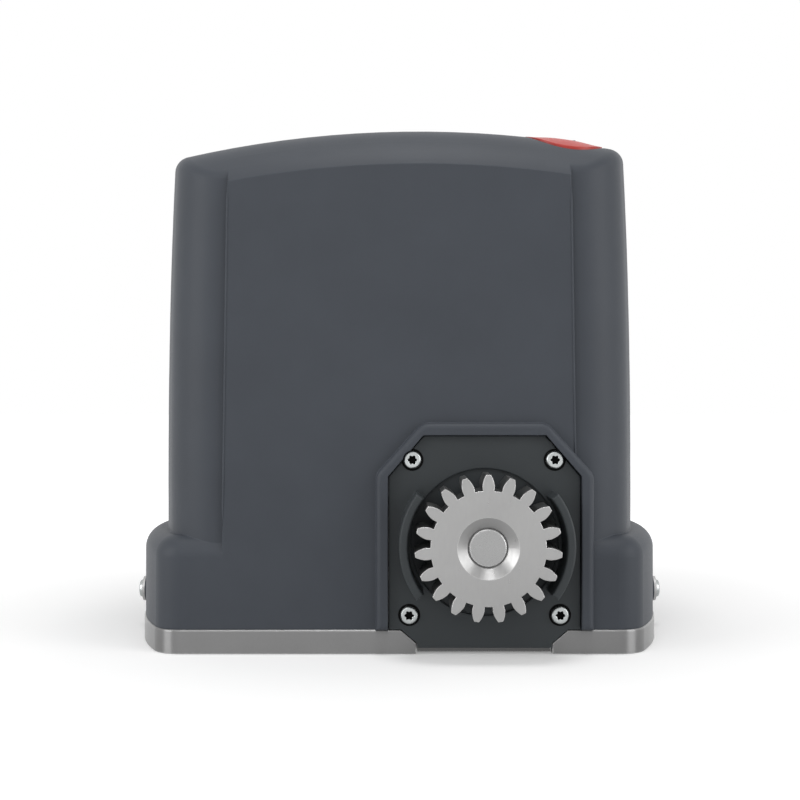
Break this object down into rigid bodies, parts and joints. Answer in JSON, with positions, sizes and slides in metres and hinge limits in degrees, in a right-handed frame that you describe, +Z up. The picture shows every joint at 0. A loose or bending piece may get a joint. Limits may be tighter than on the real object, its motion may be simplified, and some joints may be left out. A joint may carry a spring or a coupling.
{
  "type": "sliding gate motor",
  "caption": "Floor-standing sliding gate motor: bowed grey cover on an aluminium base, front pinion between guard walls, red release cap on top.",
  "frame": {"origin": "middle of the base's underside, on the ground", "axes": "+Z up, -Y out of the front towards the gate's rack, +X to the right seen from the front"},
  "size_m": [0.3486, 0.2298, 0.3255],
  "materials": {
    "cover_plastic": "fine-grained moulded slate grey",
    "base_aluminium": "cast and milled",
    "dark_cast": "dark powder coat",
    "housing_cast": "raw casting",
    "zinc_screw": "bright zinc",
    "gear_steel": "satin zinc",
    "shaft_steel": "ground",
    "bearing_steel": "polished",
    "bronze": "machined bronze",
    "seal_rubber": "black rubber",
    "cap_red": "glossy coral red",
    "lock_metal": "nickel",
    "motor_paint": "black zinc can",
    "lamination": "steel laminations",
    "copper": "enamelled copper",
    "magnet": "ferrite",
    "carbon": "carbon",
    "board_green": "solder mask",
    "terminal_green": "moulded",
    "component_black": "moulded",
    "bracket_steel": "galvanised sheet"
  },
  "bodies": {
    "frame": {"base_casting": "base_aluminium", "levelling_screws": "zinc_screw", "cover": "cover_plastic", "cover_seal": "seal_rubber", "gearbox_front_plate": "dark_cast", "plate_screws": "zinc_screw", "cover_screws": "zinc_screw", "cover_washers": "seal_rubber", "output_bearings": "bearing_steel", "shaft_seal": "seal_rubber", "worm_bearings": "bearing_steel", "gearbox_housing": "housing_cast", "lock_barrel": "lock_metal", "fork_guide": "shaft_steel", "cap_pin": "shaft_steel", "motor_can": "motor_paint", "motor_flange": "housing_cast", "motor_end_cap": "housing_cast", "motor_brushes": "carbon", "motor_bolts": "zinc_screw", "motor_magnets": "magnet", "board_bracket": "bracket_steel", "board_posts": "component_black", "control_board": "board_green", "board_terminals": "terminal_green", "board_components": "component_black", "transformer_core": "lamination", "transformer_coil": "copper", "limit_sensor": "component_black", "cable_grommet": "seal_rubber"},
    "rotor": {"worm_shaft": "shaft_steel", "armature_core": "lamination", "armature_windings": "copper", "commutator": "copper"},
    "output": {"output_shaft": "shaft_steel", "pinion": "gear_steel", "shaft_keys": "shaft_steel", "worm_wheel": "bronze"},
    "clutch": {"clutch_collar": "shaft_steel"},
    "key": {"release_rod": "shaft_steel", "release_lock": "lock_metal"},
    "fork": {"clutch_fork": "shaft_steel"},
    "cap": {"release_cap": "cap_red"}
  },
  "joints": [
    {"name": "rotor_spin", "type": "hinge", "parent": "frame", "child": "rotor", "pos_m": [0.0017, -0.046, 0.067], "axis": [0, 0, 1], "continuous": true},
    {"name": "pinion_spin", "type": "hinge", "parent": "frame", "child": "output", "pos_m": [0.0507, -0.1, 0.067], "axis": [0, -1, 0], "continuous": true},
    {"name": "key_turn", "type": "hinge", "parent": "frame", "child": "key", "pos_m": [0.1035, -0.054, 0.2], "axis": [0, 0, -1], "range_deg": [0, 90]},
    {"name": "fork_slide", "type": "slide", "parent": "frame", "child": "fork", "axis": [0, 1, 0], "range_m": [0, 0.00566]},
    {"name": "clutch_slide", "type": "slide", "parent": "output", "child": "clutch", "axis": [0, 1, 0], "range_m": [0, 0.00566]},
    {"name": "cap_hinge", "type": "hinge", "parent": "frame", "child": "cap", "pos_m": [0.1035, -0.0274, 0.3184], "axis": [-1, 0, 0], "range_deg": [0, 100]}
  ],
  "couplings": [
    {"joint": "pinion_spin", "follows": "rotor_spin", "ratio": 0.03125},
    {"joint": "key_turn", "follows": "fork_slide", "rad_per_m": 277.68},
    {"joint": "clutch_slide", "follows": "fork_slide", "ratio": 1}
  ]
}
